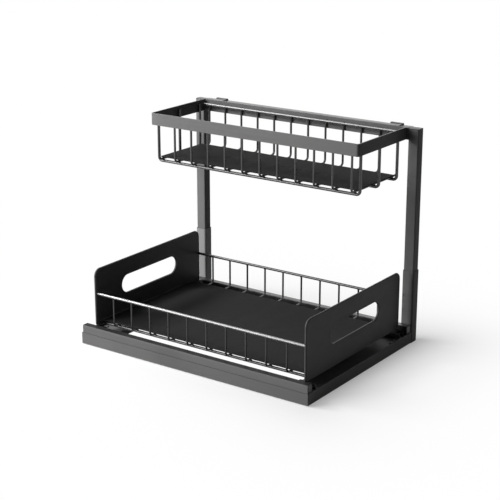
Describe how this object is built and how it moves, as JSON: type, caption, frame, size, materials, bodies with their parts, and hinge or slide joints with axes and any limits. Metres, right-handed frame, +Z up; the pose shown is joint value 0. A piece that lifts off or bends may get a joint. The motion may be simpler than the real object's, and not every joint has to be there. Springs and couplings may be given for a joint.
{
  "type": "two-tier under sink organizer",
  "caption": "Free-standing under sink organizer with a low base frame, a wire drawer that pulls out lengthwise on ball slides, plug-in posts and a wire basket hung from a crossbar.",
  "frame": {"origin": "centre of the footprint, on the floor", "axes": "+X along the long side, the way the drawer pulls out; +Y to the rear, where the posts stand; +Z up"},
  "size_m": [0.42, 0.314, 0.3435],
  "materials": {
    "frame": "fine textured satin black powder coat",
    "panel": "satin black powder coat",
    "wire": "semi-gloss black coat",
    "cap": "matt black moulded plastic",
    "rubber": "soft matt black",
    "liner": "matt black sheet",
    "slide": "black electro-coated steel",
    "fastener": "black oxide",
    "ball": "polished"
  },
  "bodies": {
    "base": {"front_skirt": "frame", "left_skirt": "frame", "right_skirt": "frame", "front_bar": "frame", "rear_bar": "frame", "bar_end_caps": "cap", "left_cross_plate": "panel", "right_cross_plate": "panel", "skirt_clips": "panel", "clip_screws": "fastener", "rubber_feet": "rubber", "left_post_sleeve": "frame", "right_post_sleeve": "frame", "sleeve_caps": "rubber", "front_outer_rail": "slide", "rear_outer_rail": "slide", "rail_rivets": "fastener", "slide_bumpers": "rubber"},
    "upper_frame": {"left_post_tube": "frame", "right_post_tube": "frame", "crossbar": "frame", "post_top_plugs": "cap", "post_foot_plugs": "cap"},
    "basket": {"basket_band": "frame", "basket_cross_wires": "wire", "basket_long_wires": "wire", "basket_top_wire": "wire", "basket_hooks": "frame", "basket_liner": "liner"},
    "drawer": {"left_side_panel": "panel", "right_side_panel": "panel", "drawer_cross_wires": "wire", "drawer_long_wires": "wire", "front_fence_rail": "wire", "rear_fence_rail": "wire", "drawer_liner": "liner", "front_inner_rail": "slide", "rear_inner_rail": "slide", "drawer_screws": "fastener"},
    "front_cage": {"front_ball_cage": "slide", "front_balls": "ball"},
    "rear_cage": {"rear_ball_cage": "slide", "rear_balls": "ball"}
  },
  "joints": [
    {"name": "drawer_slide", "type": "slide", "parent": "base", "child": "drawer", "axis": [1, 0, 0], "range_m": [0, 0.27]},
    {"name": "front_cage_slide", "type": "slide", "parent": "base", "child": "front_cage", "axis": [1, 0, 0], "range_m": [0, 0.135]},
    {"name": "rear_cage_slide", "type": "slide", "parent": "base", "child": "rear_cage", "axis": [1, 0, 0], "range_m": [0, 0.135]},
    {"name": "frame_lift", "type": "slide", "parent": "base", "child": "upper_frame", "axis": [0, 0, 1], "range_m": [0, 0.06]},
    {"name": "basket_lift", "type": "slide", "parent": "upper_frame", "child": "basket", "axis": [0, 0, 1], "range_m": [0, 0.03]}
  ],
  "couplings": [
    {"joint": "front_cage_slide", "follows": "drawer_slide", "ratio": 0.5},
    {"joint": "rear_cage_slide", "follows": "drawer_slide", "ratio": 0.5}
  ]
}
